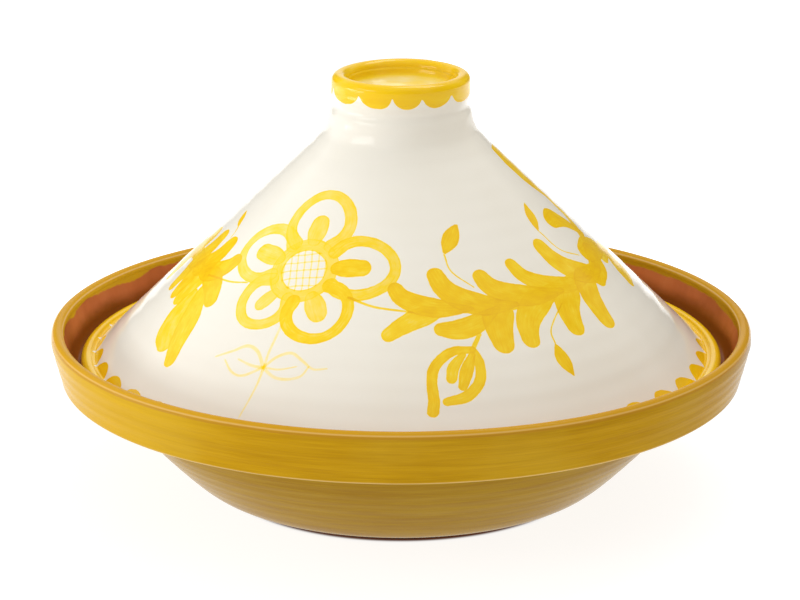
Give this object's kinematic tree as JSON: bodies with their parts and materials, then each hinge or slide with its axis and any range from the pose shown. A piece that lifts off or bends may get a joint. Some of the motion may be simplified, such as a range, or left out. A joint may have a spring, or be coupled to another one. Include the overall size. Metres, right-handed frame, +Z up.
{
  "type": "tagine pot",
  "caption": "Round glazed earthenware cooking dish with an upright rim, and a painted conical lid with a cupped knob that lifts off.",
  "frame": {"origin": "centre of the dish's foot, on the surface that it stands on", "axes": "+Z up along the axis that both pieces are turned about; -Y is the side with the painted flower"},
  "size_m": [0.32, 0.32, 0.1923],
  "materials": {
    "white_glaze": "gloss",
    "honey_glaze": "gloss"
  },
  "bodies": {
    "dish": {"base_dish": "honey_glaze"},
    "lid": {"lid": "white_glaze"}
  },
  "joints": [
    {"name": "lid_lift", "type": "slide", "parent": "dish", "child": "lid", "axis": [0, 0, 1], "range_m": [0, 0.15]}
  ]
}
